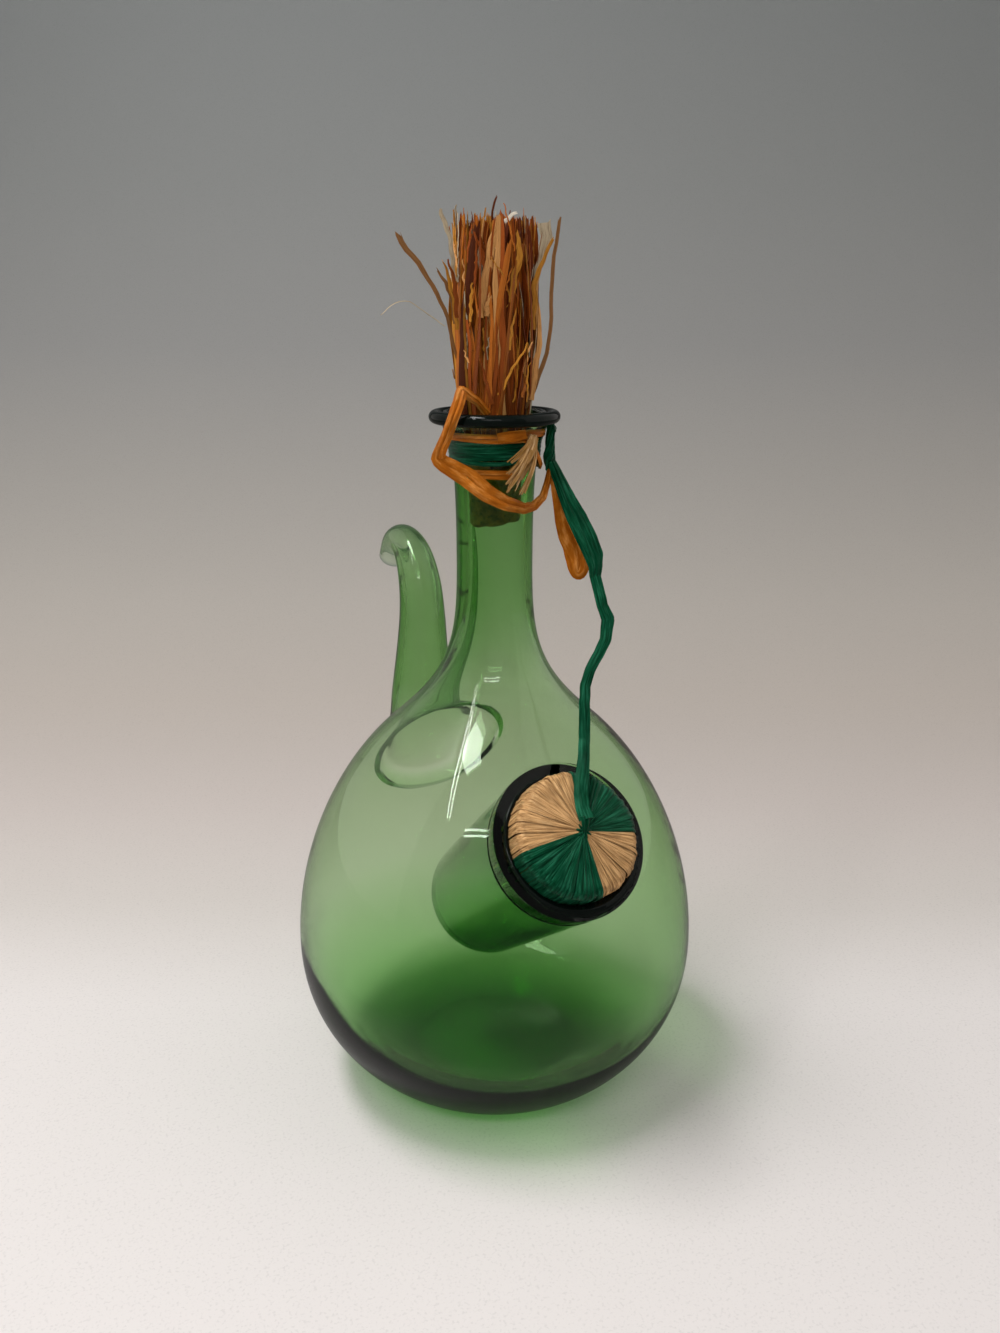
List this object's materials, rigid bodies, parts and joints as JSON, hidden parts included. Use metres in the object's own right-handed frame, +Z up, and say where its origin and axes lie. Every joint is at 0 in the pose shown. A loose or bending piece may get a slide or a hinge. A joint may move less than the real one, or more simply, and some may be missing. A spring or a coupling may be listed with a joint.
{
  "type": "decanter",
  "caption": "Pear-shaped blown glass wine decanter with a curled pouring spout, a corked neck with a straw tuft, and a slanted ice pocket closed by a straw-wound stopper.",
  "frame": {"origin": "middle of the flat base that the flask stands on", "axes": "+Z up along the neck, -Y towards the ice pocket, +Y towards the spout"},
  "size_m": [0.1572, 0.1939, 0.3396],
  "materials": {
    "green_glass": "clear green blown glass, wet gloss",
    "dark_glass": "near-black green glass thread, wet gloss",
    "cork": "matt brown cork with dark pits",
    "straw": "rust to gold split straw, satin",
    "natural_raffia": "undyed raffia, satin",
    "green_raffia": "dyed green raffia ribbon, glossy",
    "orange_raffia": "dyed orange raffia ribbon, glossy",
    "tan_raffia": "frayed tan raffia, satin"
  },
  "bodies": {
    "vessel": {"flask": "green_glass", "lip_ring": "dark_glass", "spout": "green_glass", "ice_pocket": "green_glass", "pocket_lip": "dark_glass", "neck_wrap": "green_raffia", "green_knot": "green_raffia", "orange_tie": "orange_raffia", "frayed_knot": "tan_raffia", "orange_loop": "orange_raffia", "orange_tail_loop": "orange_raffia", "green_leaf": "green_raffia"},
    "neck_stopper": {"neck_cork": "cork", "straw_front_right": "straw", "straw_back_right": "straw", "straw_back_left": "straw", "straw_front_left": "straw"},
    "ice_stopper": {"ice_cork": "cork", "centre_knot": "green_raffia", "raffia_green_upper": "green_raffia", "raffia_natural_upper": "natural_raffia", "raffia_green_lower": "green_raffia", "raffia_natural_lower": "natural_raffia", "tether": "green_raffia"}
  },
  "joints": [
    {"name": "neck_stopper_lift", "type": "slide", "parent": "vessel", "child": "neck_stopper", "axis": [0, 0, 1], "range_m": [0, 0.06]},
    {"name": "ice_stopper_pull", "type": "slide", "parent": "vessel", "child": "ice_stopper", "axis": [0, -0.7859, 0.6184], "range_m": [0, 0.05], "deforming": ["tether"]}
  ]
}
